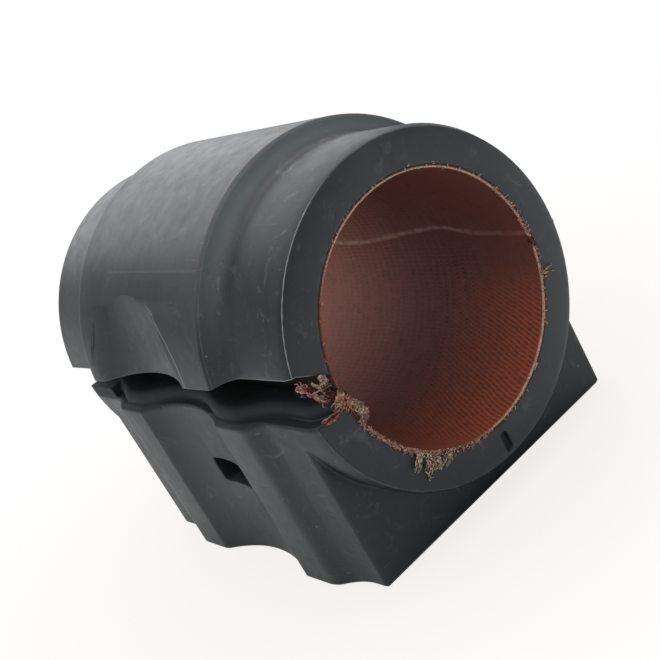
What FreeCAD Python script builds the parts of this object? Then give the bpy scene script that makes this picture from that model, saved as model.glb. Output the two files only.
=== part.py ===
import FreeCAD, Part
import math
import os

# Sway bar bushing: a moulded rubber body, slit along one side so that it opens over
# the bar, and a woven fabric liner bonded inside its bore.
# Frame, in millimetres: the origin is on the bore's axis at mid length, +Y runs along
# the bore, +Z points up and away from the flat base, and the slit is on the -X side.
# A size called a wall is the rubber's thickness outside the liner at the middle plane.

Vec = FreeCAD.Vector

# Bore and liner
bore_radius = 16.0
liner_thickness = 0.45
body_length = 61.4

# Collars, the round ends that stand proud of the block
collar_wall = 4.59
collar_bevel = 1.4
collar_reach = 5.5

# Barrel, the round seat for the bracket strap on the upper half
barrel_rise = 2.46
barrel_edge_break = 0.5
shoulder_length = 3.5
shoulder_inset = 10.6

# Block, the lower half that the bracket presses on the frame
base_wall = 8.95
base_edge_chamfer = 0.35
block_corner_round = 0.5
wall_top_round = 0.8

# Ribbed side wall: a groove near mid length, a flat-topped crest on each side of it and
# end lands; a share is how much of a curve belongs to its hollow arc
groove_wall = 3.65
crest_wall = 6.2
land_wall = 4.05
crest_inset = 12.3
crest_width = 5.0
land_length = 2.4
ribs_shift = -0.6
groove_share = 0.955
foot_share = 0.75
collar_trim_past_crest = 5.3

# Slit, open on the -X side along the whole length, narrower at its rear end
slit_reach = 30.0
slit_sill_drop = 1.3
slit_lintel_at_bore = 1.65
slit_lintel_outside = 3.85
slit_lintel_rise_run = 3.7
slit_lintel_fall = 1.9

# Cut in the liner alone, narrower than the slit, so that its edges stand in the slit
liner_cut_height = 0.25
liner_cut_width = 0.4

# Sealing bead on the lower face of the slit
bead_top = 0.35
bead_inset = 0.9
bead_end_turn = 3.2
bead_end_shift = 2.1
bead_top_round = 1.2
bead_crest_width = 1.0
bead_groove_share = 0.6

# Rear end of the lower lip: a raised tab, and the collar set back beside the slit
tab_length = 6.0
tab_top = 0.15
tab_depth = 2.2
setback_reach = 0.8
setback_height = 9.3
setback_round = 3.0

# Scooped pocket in the barrel above the slit, as two of its plans, each with a crisp
# front edge, a floor and a soft rear edge; a depth is taken from the barrel's widest
pocket_low_height = 3.9
pocket_low_front_y = -9.8
pocket_low_front_depth = 0.35
pocket_low_floor_y = 2.2
pocket_low_floor_depth = 2.95
pocket_low_rear_y = 16.3
pocket_low_rear_depth = 0.05
pocket_high_height = 12.7
pocket_high_front_y = -5.4
pocket_high_front_depth = 3.75
pocket_high_floor_y = 2.4
pocket_high_floor_depth = 4.5
pocket_high_rear_y = 11.0
pocket_high_rear_depth = 3.5
pocket_floor_share = 0.65
pocket_overrun = 5.0

# Blind locator hole in the main groove of the slit side
locator_middle_y = -1.8
locator_drop = 11.9
locator_length = 7.6
locator_height = 3.9
locator_depth = 4.5
locator_corner_round = 0.7

# Moulding marks on the front collar
nick_width = 1.2
nick_length = 2.6
nick_depth = 0.8
nick_wall = 2.25
nick_angle = -90.5
flash_nub_radius = 0.55
flash_nub_height = 0.35
flash_nub_angle = -4.0

end_y = body_length / 2.0
block_half_length = end_y - collar_reach
rubber_bore_radius = bore_radius + liner_thickness
collar_radius = rubber_bore_radius + collar_wall
barrel_radius = collar_radius + barrel_rise
base_drop = rubber_bore_radius + base_wall
crest_y = block_half_length - crest_inset
land_y = block_half_length - land_length
past = 5.0


def line(start, end):
    return Part.LineSegment(start, end).toShape()


def arc(start, middle, end):
    return Part.Arc(start, middle, end).toShape()


def ogee(start, end, share):
    """Two tangent arcs that leave the start and reach the end along Y.

    The share is how much of the curve belongs to the arc at the start.
    """
    run = end.y - start.y
    rise = end.x - start.x
    both_radii = (run ** 2 + rise ** 2) / (2.0 * abs(rise))
    turn = math.asin(abs(run) / both_radii)
    first = both_radii * share
    second = both_radii - first

    def step(radius, angle):
        along = math.copysign(radius * math.sin(angle), run)
        across = math.copysign(radius * (1.0 - math.cos(angle)), rise)
        return Vec(across, along, 0)

    joint = start + step(first, turn)
    return [
        arc(start, start + step(first, turn / 2.0), joint),
        arc(joint, end - step(second, turn / 2.0), end),
    ]


def revolved_about_bore(edges):
    """A full turn about the bore's axis of a closed outline drawn in the Y-Z plane."""
    face = Part.Face(Part.Wire(Part.__sortEdges__(edges)))
    return face.revolve(Vec(0, 0, 0), Vec(0, 1, 0), 360)


def raised(edges, height):
    """A closed outline, in any order of its edges, pulled straight up."""
    face = Part.Face(Part.Wire(Part.__sortEdges__(edges)))
    return face.extrude(Vec(0, 0, height))


def round_rod(radius, half_length):
    """A solid cylinder on the bore's axis."""
    return Part.makeCylinder(radius, 2.0 * half_length, Vec(0, -half_length, 0), Vec(0, 1, 0))


def long_box(low_x, high_x, low_z, high_z):
    """A box longer than the bushing, used to keep or remove one region of it."""
    half_y = end_y + past
    corner = Vec(low_x, -half_y, low_z)
    return Part.makeBox(high_x - low_x, 2.0 * half_y, high_z - low_z, corner)


def collar_end(side):
    """One end of the turned outline, over the collar's two-step bevel to the axis."""
    corner = collar_bevel * (1.0 - math.sqrt(0.5))
    surface = Vec(0, side * (end_y - collar_bevel), collar_radius)
    middle = Vec(0, side * (end_y - corner), collar_radius - corner)
    face = Vec(0, side * end_y, collar_radius - collar_bevel)
    bevel = [line(surface, middle), line(middle, face)]
    return surface, bevel + [line(face, Vec(0, side * end_y, 0))]


def shoulder(side):
    """The barrel's broken edge and the concave shoulder that runs out on the collar."""
    hollow = (shoulder_length ** 2 + barrel_rise ** 2) / (2.0 * barrel_rise)
    foot_y = end_y - shoulder_inset
    centre_gap = hollow - barrel_rise + barrel_edge_break
    offset = math.sqrt((hollow + barrel_edge_break) ** 2 - centre_gap ** 2)
    turn = math.atan2(offset, centre_gap)

    def on_hollow(angle):
        across = collar_radius + hollow * (1.0 - math.cos(angle))
        return Vec(0, side * (foot_y - hollow * math.sin(angle)), across)

    top = Vec(0, side * (foot_y - offset), barrel_radius)
    joint = on_hollow(turn)
    edges = [line(top, joint), arc(joint, on_hollow(turn / 2.0), on_hollow(0))]
    return top, on_hollow(0), edges


def turned_rod(with_barrel):
    """Both collars with bevelled edges, and between them the barrel or a plain rod."""
    front, front_end = collar_end(-1)
    rear, rear_end = collar_end(1)
    axis = line(Vec(0, end_y, 0), Vec(0, -end_y, 0))
    if not with_barrel:
        return revolved_about_bore(front_end + [axis] + rear_end + [line(front, rear)])
    front_top, front_foot, front_shoulder = shoulder(-1)
    rear_top, rear_foot, rear_shoulder = shoulder(1)
    between = [line(front, front_foot), line(front_top, rear_top), line(rear_foot, rear)]
    shoulders = front_shoulder + rear_shoulder
    return revolved_about_bore(front_end + [axis] + rear_end + between + shoulders)


def wall_plan(side, height, inset, top_width, hollow_share):
    """One ribbed side wall seen from above, from its front land to its rear land."""

    def at(along, wall):
        x = side * (rubber_bore_radius + wall - inset)
        return Vec(x, along + ribs_shift, height)

    groove = at(0, groove_wall)
    lands = []
    edges = []
    for end in (-1, 1):
        near = at(end * (crest_y - top_width / 2.0), crest_wall)
        far = at(end * (crest_y + top_width / 2.0), crest_wall)
        land = at(end * land_y, land_wall)
        edges += ogee(groove, near, hollow_share)
        edges.append(line(near, far))
        edges += ogee(far, land, 1.0 - foot_share)
        lands.append(land)
    return lands[0], lands[1], edges


def corner_plan(land, side, end):
    """From the end of a wall's last curve along its land and round the block's corner."""
    corner = block_corner_round * (1.0 - math.sqrt(0.5))
    wide = land.x
    start = Vec(wide, end * (block_half_length - block_corner_round), land.z)
    middle = Vec(wide - side * corner, end * (block_half_length - corner), land.z)
    finish = Vec(wide - side * block_corner_round, end * block_half_length, land.z)
    return finish, [line(land, start), arc(start, middle, finish)]


def ribbed_prism(bottom, top):
    """The block's outline, pulled straight up between two heights."""
    edges = []
    ends = {-1: [], 1: []}
    for side in (-1, 1):
        front, rear, wall = wall_plan(side, bottom, 0, crest_width, groove_share)
        edges += wall
        for land, end in ((front, -1), (rear, 1)):
            finish, corner = corner_plan(land, side, end)
            edges += corner
            ends[end].append(finish)
    edges += [line(*ends[-1]), line(*ends[1])]
    return raised(edges, top - bottom)


def sill_lip_edges(solid):
    """The outer edges of the slit's level sill."""
    found = []
    for edge in solid.Edges:
        box = edge.BoundBox
        level = abs(box.ZMin + slit_sill_drop) < 1e-4 and abs(box.ZMax + slit_sill_drop) < 1e-4
        if level and box.XMax < -bore_radius:
            found.append(edge)
    return found


def block():
    """The ribbed block up to the middle plane, its base chamfered and its sill rounded."""
    low = ribbed_prism(-base_drop, -slit_sill_drop)
    base_edges = [edge for edge in low.Edges if edge.BoundBox.ZMax < -base_drop + 1e-6]
    low = low.makeChamfer(base_edge_chamfer, base_edges)
    low = low.makeFillet(wall_top_round, sill_lip_edges(low))
    return low.fuse(ribbed_prism(-slit_sill_drop, 0))


def wall_groove_tool(side, bottom, top):
    """What lies outside the ribbed wall on one side, from rib to rib."""
    reach = crest_y + collar_trim_past_crest
    low_x = min(0, side * slit_reach)
    box = Part.makeBox(slit_reach, 2.0 * reach, top - bottom, Vec(low_x, -reach, bottom))
    return box.cut(ribbed_prism(bottom, top))


def pocket_plan(height):
    """The pocket's plan at a height, in line with its two given plans."""
    ratio = (height - pocket_low_height) / (pocket_high_height - pocket_low_height)

    def at(low_y, low_depth, high_y, high_depth):
        along = low_y + (high_y - low_y) * ratio
        depth = low_depth + (high_depth - low_depth) * ratio
        return Vec(depth - barrel_radius, along, height)

    front = at(pocket_low_front_y, pocket_low_front_depth,
               pocket_high_front_y, pocket_high_front_depth)
    floor = at(pocket_low_floor_y, pocket_low_floor_depth,
               pocket_high_floor_y, pocket_high_floor_depth)
    rear = at(pocket_low_rear_y, pocket_low_rear_depth,
              pocket_high_rear_y, pocket_high_rear_depth)
    run = floor.y - front.y
    rise = floor.x - front.x
    radius = (run ** 2 + rise ** 2) / (2.0 * rise)
    half = math.asin(run / radius) / 2.0
    middle = floor - Vec(radius * (1.0 - math.cos(half)), radius * math.sin(half), 0)
    front_out = Vec(-slit_reach, front.y - pocket_overrun, height)
    rear_out = Vec(-slit_reach, rear.y + pocket_overrun, height)
    edges = [arc(front, middle, floor)]
    edges += ogee(floor, rear, pocket_floor_share)
    edges += [line(rear, rear_out), line(rear_out, front_out), line(front_out, front)]
    return Part.Wire(edges)


def pocket_tool():
    """A cutter that leans inward as it rises and fades out where the barrel curves in."""
    low = pocket_plan(pocket_low_height - pocket_overrun)
    high = pocket_plan(pocket_high_height + pocket_overrun)
    return Part.makeLoft([low, high], True, True)


def slit_corners(along):
    """The slit's section: a level sill, and a lintel that rises from the bore outward."""
    fall = slit_lintel_fall * along / body_length
    sill = -slit_sill_drop
    slope = (slit_lintel_outside - slit_lintel_at_bore) / slit_lintel_rise_run
    inside = bore_radius / 8.0
    inner_x = inside - bore_radius
    outer_x = -bore_radius - slit_lintel_rise_run
    return [
        Vec(inner_x, along, sill),
        Vec(inner_x, along, slit_lintel_at_bore - inside * slope - fall),
        Vec(outer_x, along, slit_lintel_outside - fall),
        Vec(-slit_reach, along, slit_lintel_outside - fall),
        Vec(-slit_reach, along, sill),
    ]


def flat_face(corners):
    return Part.Face(Part.makePolygon(corners + [corners[0]]))


def slit_tool():
    """The gap of the slit from end to end, its lintel lower at the rear."""
    front = slit_corners(-end_y - past)
    rear = slit_corners(end_y + past)
    faces = [flat_face(front), flat_face(rear)]
    for i in range(len(front)):
        faces.append(flat_face([front[i - 1], front[i], rear[i], rear[i - 1]]))
    return Part.makeSolid(Part.makeShell(faces))


def sealing_bead():
    """A rounded bead on the sill, set in from the outer wall and curled in at its ends."""
    low = -slit_sill_drop - 1.0
    front, rear, edges = wall_plan(-1, low, bead_inset, bead_crest_width, bead_groove_share)
    inner_x = -rubber_bore_radius + 1.0
    inner = []
    for land, end in ((front, -1), (rear, 1)):
        turn = Vec(land.x, end * (end_y - bead_end_turn), low)
        radius = (bead_end_turn ** 2 + bead_end_shift ** 2) / (2.0 * bead_end_shift)
        half = math.asin(bead_end_turn / radius) / 2.0
        across = radius * (1.0 - math.cos(half))
        middle = turn + Vec(across, end * radius * math.sin(half), 0)
        finish = Vec(land.x + bead_end_shift, end * end_y, low)
        inner.append(Vec(inner_x, end * end_y, low))
        edges += [line(land, turn), arc(turn, middle, finish), line(finish, inner[-1])]
    edges.append(line(*inner))
    solid = raised(edges, bead_top - low)
    top_edges = []
    for edge in solid.Edges:
        box = edge.BoundBox
        crosswise = box.YLength < 1e-6
        if box.ZMin > bead_top - 1e-6 and box.XMax < inner_x - 1e-6 and not crosswise:
            top_edges.append(edge)
    return solid.makeFillet(bead_top_round, top_edges)


def rear_tab():
    """The rear end of the lower lip, raised above the sill out to the outer wall."""
    length = tab_length + setback_reach
    outer = slit_reach - rubber_bore_radius - bead_inset
    corner = Vec(-slit_reach, block_half_length - tab_length, tab_top - tab_depth)
    return Part.makeBox(outer, length, tab_depth, corner)


def setback_tool():
    """What the rear end lacks beside the slit, below the lower lip."""
    low_z = -slit_sill_drop - setback_height
    start = block_half_length + setback_reach
    corner = Vec(-slit_reach, start, low_z)
    size_y = end_y + past - start
    box = Part.makeBox(slit_reach - bore_radius / 2.0, size_y, bead_top - low_z, corner)
    inner = []
    for edge in box.Edges:
        bounds = edge.BoundBox
        if bounds.YMax < start + 1e-6 and bounds.ZMax < low_z + 1e-6:
            inner.append(edge)
    return box.makeFillet(setback_round, inner)


def locator_hole():
    """A blind hole with rounded corners, sunk into the main groove of the slit side."""
    wide = rubber_bore_radius + groove_wall
    low_y = locator_middle_y - locator_length / 2.0
    low_z = -locator_drop - locator_height / 2.0
    deep = locator_depth + past
    corner = Vec(-wide - past, low_y, low_z)
    box = Part.makeBox(deep, locator_length, locator_height, corner)
    along_x = [edge for edge in box.Edges if edge.BoundBox.XLength > deep - 1e-6]
    return box.makeFillet(locator_corner_round, along_x)


def end_nick():
    """A small radial nick in the front collar's face."""
    low = rubber_bore_radius + nick_wall - nick_length / 2.0
    corner = Vec(low, -end_y - past, -nick_width / 2.0)
    box = Part.makeBox(nick_length, past + nick_depth, nick_width, corner)
    along_y = [edge for edge in box.Edges if edge.BoundBox.YLength > past]
    box = box.makeFillet(nick_width / 2.2, along_y)
    box.rotate(Vec(0, 0, 0), Vec(0, 1, 0), -nick_angle)
    return box


def flash_nub():
    """A crumb of moulding flash on the front collar, just under the parting plane."""
    out = collar_radius - flash_nub_radius + flash_nub_height
    turn = math.radians(flash_nub_angle)
    centre = Vec(out * math.cos(turn), -end_y + collar_bevel, out * math.sin(turn))
    return Part.makeSphere(flash_nub_radius, centre)


def rubber_body():
    """The moulded rubber body as one solid."""
    upper = turned_rod(True).common(long_box(-slit_reach, slit_reach, 0, slit_reach))
    upper = upper.cut([pocket_tool(), wall_groove_tool(1, 0, barrel_radius)])
    lower = turned_rod(False).common(long_box(-slit_reach, slit_reach, -slit_reach, 0))
    lower = lower.cut([wall_groove_tool(side, -base_drop, 0) for side in (-1, 1)])
    body = upper.fuse([lower, block()]).removeSplitter()
    body = body.cut(slit_tool())
    room = turned_rod(False).fuse(ribbed_prism(-base_drop, bead_top))
    lip = sealing_bead().fuse(rear_tab()).common(room)
    body = body.fuse([lip, flash_nub()])
    bore = round_rod(rubber_bore_radius, end_y + past)
    body = body.cut([bore, locator_hole(), end_nick(), setback_tool()])
    return body.removeSplitter()


def fabric_liner():
    """The woven liner: a thin sleeve bonded in the bore, cut where the rubber is slit."""
    sleeve = round_rod(rubber_bore_radius, end_y)
    sleeve = sleeve.cut(round_rod(bore_radius, end_y + past))
    cut = long_box(-slit_reach, 0, liner_cut_height, liner_cut_height + liner_cut_width)
    return sleeve.cut([cut, setback_tool()])


def write(name, shape):
    solids = shape.Solids
    print(name, "solids", len(solids), "volume", round(shape.Volume, 2), "valid", shape.isValid())
    single = solids[0] if len(solids) == 1 else shape
    single.exportStep(os.path.join("parts", name + ".step"))


os.makedirs("parts", exist_ok=True)
write("rubber_body", rubber_body())
write("fabric_liner", fabric_liner())
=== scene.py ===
import math
import random

import bmesh
import bpy
from bpy.props import FloatProperty, FloatVectorProperty, IntProperty, PointerProperty
from mathutils import Matrix, Vector, noise


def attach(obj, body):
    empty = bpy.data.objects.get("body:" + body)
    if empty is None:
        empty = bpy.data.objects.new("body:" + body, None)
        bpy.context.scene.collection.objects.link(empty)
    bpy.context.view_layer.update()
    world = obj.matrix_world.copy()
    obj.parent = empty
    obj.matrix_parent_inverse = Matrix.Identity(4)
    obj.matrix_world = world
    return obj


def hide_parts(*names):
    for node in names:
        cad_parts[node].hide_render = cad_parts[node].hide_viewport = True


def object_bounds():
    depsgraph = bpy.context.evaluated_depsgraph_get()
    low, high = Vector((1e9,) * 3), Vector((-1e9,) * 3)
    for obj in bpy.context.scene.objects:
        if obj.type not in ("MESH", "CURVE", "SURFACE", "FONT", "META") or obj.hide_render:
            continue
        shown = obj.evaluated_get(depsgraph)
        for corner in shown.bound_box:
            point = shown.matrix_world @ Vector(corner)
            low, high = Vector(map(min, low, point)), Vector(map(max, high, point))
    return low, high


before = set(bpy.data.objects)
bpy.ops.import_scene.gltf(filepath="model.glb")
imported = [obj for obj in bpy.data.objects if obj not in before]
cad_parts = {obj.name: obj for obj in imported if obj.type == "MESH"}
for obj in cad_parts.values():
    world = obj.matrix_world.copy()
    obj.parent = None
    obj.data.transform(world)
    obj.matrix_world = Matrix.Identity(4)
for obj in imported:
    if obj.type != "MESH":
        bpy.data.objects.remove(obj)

# A slit sway bar bushing: the rubber's finish, the woven liner in its bore, the yarn that
# has frayed out of the liner's cut edges, and the stage. Lengths are in metres in the
# CAD frame, with the bore along Y, the flat base down and the slit on the -X side.
# Inside the materials, places are in millimetres.

bl_info = {
    "name": "Sway bar bushing",
    "version": (1, 0, 0),
    "blender": (4, 5, 0),
    "location": "3D View > Sidebar > Bushing",
    "description": "Dresses a slit rubber bushing and its woven liner",
    "category": "Object",
}

cad_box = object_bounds()
MM = 0.001
FRONT_Y = cad_box[0][1]
REAR_Y = cad_box[1][1]
BASE_Z = cad_box[0][2]


# Small helpers for materials and meshes

class Recipe:
    """One material, built node by node."""

    def __init__(self, name):
        self.material = bpy.data.materials.new(name)
        self.material.use_nodes = True
        self.tree = self.material.node_tree
        self.tree.nodes.clear()

    def add(self, kind, inputs=None, **settings):
        node = self.tree.nodes.new("ShaderNode" + kind)
        for key, value in settings.items():
            setattr(node, key, value)
        for key, value in (inputs or {}).items():
            self.feed(node.inputs[key], value)
        return node

    def feed(self, socket, value):
        if isinstance(value, bpy.types.NodeSocket):
            self.tree.links.new(value, socket)
        else:
            socket.default_value = value

    def math(self, operation, *values):
        node = self.add("Math", operation=operation)
        for index, value in enumerate(values):
            self.feed(node.inputs[index], value)
        return node.outputs[0]

    def chain(self, operation, values):
        """Takes the values together one after another."""
        result = values[0]
        for value in values[1:]:
            result = self.math(operation, result, value)
        return result

    def times(self, *values):
        return self.chain("MULTIPLY", values)

    def total(self, *values):
        return self.chain("ADD", values)

    def most(self, *values):
        return self.chain("MAXIMUM", values)

    def apart(self, value, middle):
        """How far a value lies from a middle, to either side."""
        return self.math("ABSOLUTE", self.math("SUBTRACT", value, middle))

    def without(self, mask, share=1.0):
        """A factor that takes away a share of what it meets where the mask is one."""
        return self.math("SUBTRACT", 1.0, self.math("MULTIPLY", mask, share))

    def vector(self, operation, *values, output=0):
        node = self.add("VectorMath", operation=operation)
        for index, value in enumerate(values):
            self.feed(node.inputs[index], value)
        return node.outputs[output]

    def mix(self, factor, first, second):
        node = self.add("Mix", data_type="RGBA", blend_type="MIX")
        self.feed(node.inputs[0], factor)
        self.feed(node.inputs[6], first)
        self.feed(node.inputs[7], second)
        return node.outputs[2]

    def remap(self, value, low, high, to_low=0.0, to_high=1.0):
        """Takes the range from low to high smoothly to another one."""
        node = self.add("MapRange", interpolation_type="SMOOTHSTEP")
        for index, part in enumerate((value, low, high, to_low, to_high)):
            self.feed(node.inputs[index], part)
        return node.outputs[0]

    def noise(self, where, scale, detail=2.0, roughness=0.5, distortion=0.0):
        node = self.add("TexNoise", {
            "Vector": where, "Scale": scale, "Detail": detail,
            "Roughness": roughness, "Distortion": distortion})
        return node.outputs["Fac"]

    def wander(self, where, scale, detail, size):
        """Noise to either side of nought, with its whole size."""
        noise_value = self.noise(where, scale, detail)
        return self.times(self.math("SUBTRACT", noise_value, 0.5), size)

    def millimetres(self):
        """Where a point of the piece is, in millimetres."""
        place = self.add("TexCoord").outputs["Object"]
        return self.vector("MULTIPLY", place, (1.0 / MM, 1.0 / MM, 1.0 / MM))

    def axes(self, place):
        """A place along each axis, and how far it is from the bore's axis."""
        x, y, z = self.add("SeparateXYZ", {"Vector": place}).outputs
        across = self.vector("MULTIPLY", place, (1.0, 0.0, 1.0))
        return {"x": x, "y": y, "z": z, "radial": self.vector("LENGTH", across, output=1)}

    def zone(self, axes, ramps):
        """A mask from ramps: the axis, where it is nought, where it is one, and maybe the
        middle from which it is measured."""
        masks = []
        for axis, nought, one, *middle in ramps:
            value = self.apart(axes[axis], middle[0]) if middle else axes[axis]
            masks.append(self.remap(value, nought, one))
        return self.times(*masks)

    def zones(self, axes, table):
        return {name: self.zone(axes, ramps) for name, ramps in table.items()}

    def finish(self, shader):
        output = self.add("OutputMaterial")
        self.tree.links.new(shader, output.inputs["Surface"])
        return self.material


def new_piece(name, bm, material):
    """Turns a bmesh into a finished piece that rides on the root body."""
    mesh = bpy.data.meshes.new(name)
    bm.to_mesh(mesh)
    bm.free()
    for polygon in mesh.polygons:
        polygon.use_smooth = True
    mesh.materials.append(material)
    piece = bpy.data.objects.new(name, mesh)
    bpy.context.scene.collection.objects.link(piece)
    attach(piece, "root")
    return piece


def add_tube(bm, points, radii, sides):
    """A closed round strand through the points, with its own radius at each."""
    rings = []
    count = len(points)
    reference = Vector((0.31, 0.62, 0.72))
    for index, point in enumerate(points):
        ahead = points[min(index + 1, count - 1)]
        behind = points[max(index - 1, 0)]
        tangent = (ahead - behind).normalized()
        across = tangent.cross(reference).normalized()
        upward = tangent.cross(across)
        ring = []
        for side in range(sides):
            angle = 2.0 * math.pi * side / sides
            offset = across * math.cos(angle) + upward * math.sin(angle)
            ring.append(bm.verts.new(point + offset * radii[index]))
        rings.append(ring)
        reference = upward
    for first, second in zip(rings, rings[1:]):
        for side in range(sides):
            after = (side + 1) % sides
            bm.faces.new((first[side], first[after], second[after], second[side]))
    bm.faces.new(list(reversed(rings[0])))
    bm.faces.new(rings[-1])


# Settings

class BushingRubber(bpy.types.PropertyGroup):
    """The moulded rubber's finish."""

    colour: FloatVectorProperty(
        name="Rubber colour", description="Clean rubber", subtype="COLOR", size=3,
        default=(0.011, 0.012, 0.015), min=0.0, max=1.0)
    # The bloom colour stands for real dust and bloom and also for painted light on upper
    # faces
    bloom_and_light_colour: FloatVectorProperty(
        name="Bloom colour", description="Pale film of dust and bloom on the rubber",
        subtype="COLOR", size=3, default=(0.110, 0.126, 0.134), min=0.0, max=1.0)
    edge_round: FloatProperty(
        name="Edge round", description="Radius that softens the moulded edges",
        subtype="DISTANCE", unit="LENGTH", default=0.35 * MM, min=0.0, max=2.0 * MM)
    # Share of the film, real bloom and painted light, that lies on upper faces
    bloom_and_light_amount: FloatProperty(
        name="Bloom amount", description="How much of the film covers upper surfaces",
        subtype="FACTOR", default=0.30, min=0.0, max=1.0)


class BushingLiner(bpy.types.PropertyGroup):
    """The woven liner."""

    bore_radius: FloatProperty(
        name="Bore radius", description="Inner radius of the liner",
        subtype="DISTANCE", unit="LENGTH", default=16.0 * MM, min=1.0 * MM)
    thickness: FloatProperty(
        name="Thickness", description="Thickness of the liner",
        subtype="DISTANCE", unit="LENGTH", default=0.45 * MM, min=0.1 * MM)
    length: FloatProperty(
        name="Length", description="Length of the liner along the bore",
        subtype="DISTANCE", unit="LENGTH", default=REAR_Y - FRONT_Y, min=1.0 * MM)
    yarn_pitch: FloatProperty(
        name="Yarn pitch", description="Distance round the bore from one yarn to the next",
        subtype="DISTANCE", unit="LENGTH", default=0.58 * MM, min=0.1 * MM)
    yarn_colour: FloatVectorProperty(
        name="Yarn colour", description="Top of the yarns", subtype="COLOR", size=3,
        default=(0.215, 0.072, 0.053), min=0.0, max=1.0)
    gap_colour: FloatVectorProperty(
        name="Gap colour", description="Resin between the yarns", subtype="COLOR", size=3,
        default=(0.120, 0.041, 0.033), min=0.0, max=1.0)


class BushingFray(bpy.types.PropertyGroup):
    """The yarn that has come loose from the liner's cut edges."""

    fibre_radius: FloatProperty(
        name="Fibre radius", description="Radius of one loose fibre",
        subtype="DISTANCE", unit="LENGTH", default=0.085 * MM, min=0.01 * MM)
    rim_fibres: IntProperty(
        name="Rim fibres", description="Short fibres round the front rim", default=430, min=0)
    seed: IntProperty(name="Seed", description="Seed of the loose fibres", default=11, min=1)


class BushingStage(bpy.types.PropertyGroup):
    """Floor, light and camera."""

    lens: FloatProperty(
        name="Lens", description="Focal length in millimetres", default=70.6376, min=1.0)
    sky: FloatProperty(
        name="Sky", description="Strength of the even light", default=0.38, min=0.0)
    key: FloatProperty(
        name="Key light", description="Strength of the light behind and above",
        default=1.20, min=0.0)
    top: FloatProperty(
        name="Top light", description="Strength of the light overhead",
        default=1.40, min=0.0)
    bore: FloatProperty(
        name="Bore light", description="Power in watts of the lamp behind the bore",
        default=0.0022, min=0.0)


# Rubber body

# Pale colour of real marks and of painted highlights on fine edges
MARK_AND_HIGHLIGHT_COLOUR = (0.235, 0.245, 0.248, 1.0)
# Colour of the painted highlight on the front collar's left edge
COLLAR_HIGHLIGHT_COLOUR = (0.46, 0.50, 0.51, 1.0)
SMOOTH_BELOW_DEGREES = 24.0
WELD_DISTANCE = 0.002 * MM

# Zones of the rubber, each with its ramps. A facing runs from -1 to 1: facing_front is -1
# towards the front, and facing_up is 1 on top. The last four zones are fine lines: a painted
# highlight on the bead's outer edge, a painted highlight on the barrel's rear edge, the
# mould's parting line on the barrel, and a painted highlight on the pocket's front edge,
# whose place along the bore comes from its curve.
RUBBER_ZONES = {
    "slit": (("z", 2.2, 1.7, 0.2), ("x", -17.0, -19.0), ("x", -24.6, -23.2)),
    "front_face": (("y", -29.4, -30.2),),
    "pocket": (("radial", 23.85, 23.3), ("y", 12.0, 9.5, 3.0), ("z", 0.2, 1.2)),
    # The next zone and the neck's top zone mark painted light; the rib's front zone marks
    # painted shade
    "shoulder": (("facing_front", -0.3, -0.7), ("y", -27.0, -23.0), ("z", 6.0, 24.0)),
    "shaded_rib_front": (("facing_front", -0.15, -0.45), ("z", -1.5, -3.5), ("y", -28.5, -27.0)),
    "neck": (("y", -15.0, -19.0), ("z", 2.0, 9.0), ("y", -29.4, -28.6)),
    "lit_neck_top": (("y", -19.0, -22.0), ("z", 14.0, 20.0)),
    "left_collar": (("x", -4.0, -10.0), ("z", -4.0, 8.0), ("y", -23.0, -26.0),
                    ("radial", 18.0, 19.0)),
    "off_nick": (("from_nick", 2.4, 3.4),),
    "bead_edge_highlight": (("z", 0.42, 0.08, -0.15), ("x", -22.6, -23.4)),
    "barrel_rear_highlight": (("y", 0.55, 0.10, 16.3), ("x", -6.0, -15.0), ("z", 2.5, 5.0)),
    "parting": (("z", 0.17, 0.05, 16.4), ("x", 0.0, -1.0), ("y", 8.6, 7.0),
                ("y", -17.8, -16.4)),
    "pocket_edge_highlight": (("from_curve", 0.26, 0.06), ("x", -18.9, -19.8), ("z", 2.2, 4.0)),
}

# Curve of the pocket's front edge: its place along the bore as a constant and the factors
# of the height and of its square
POCKET_CURVE = (-8.15, -0.89, 0.092)

# Middle of the nick low on the front face, across and up
NICK_PLACE = (-0.16, 0.0, -18.7)

# Specks of dust: cells in each millimetre, how large a speck is in its cell, from full to
# gone, and the share of cells that stay empty
SPECKS = ((0.42, 0.045, 0.075, 0.55), (0.95, 0.05, 0.09, 0.72))

# Scratches: how the pattern is drawn out along each axis, and where a scratch begins in it
SCRATCHES = (((0.05, 0.9, 0.9), 0.66), ((0.8, 0.05, 0.7), 0.67), ((0.5, 0.6, 0.07), 0.68))


def smooth_by_angle(name, degrees):
    """Modifier group that shades a mesh smooth except at edges sharper than an angle."""
    group = bpy.data.node_groups.new(name, "GeometryNodeTree")
    group.interface.new_socket("Geometry", in_out="INPUT", socket_type="NodeSocketGeometry")
    group.interface.new_socket("Geometry", in_out="OUTPUT", socket_type="NodeSocketGeometry")
    nodes = group.nodes
    links = group.links
    source = nodes.new("NodeGroupInput")
    result = nodes.new("NodeGroupOutput")
    weld = nodes.new("GeometryNodeMergeByDistance")
    weld.inputs["Distance"].default_value = WELD_DISTANCE
    angle = nodes.new("GeometryNodeInputMeshEdgeAngle")
    flat_enough = nodes.new("ShaderNodeMath")
    flat_enough.operation = "LESS_THAN"
    flat_enough.inputs[1].default_value = math.radians(degrees)
    all_faces = nodes.new("GeometryNodeSetShadeSmooth")
    all_faces.domain = "FACE"
    soft_edges = nodes.new("GeometryNodeSetShadeSmooth")
    soft_edges.domain = "EDGE"
    links.new(source.outputs[0], weld.inputs[0])
    links.new(weld.outputs[0], all_faces.inputs["Geometry"])
    links.new(all_faces.outputs[0], soft_edges.inputs["Geometry"])
    links.new(angle.outputs["Unsigned Angle"], flat_enough.inputs[0])
    links.new(flat_enough.outputs[0], soft_edges.inputs["Shade Smooth"])
    links.new(soft_edges.outputs[0], result.inputs[0])
    return group


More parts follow.
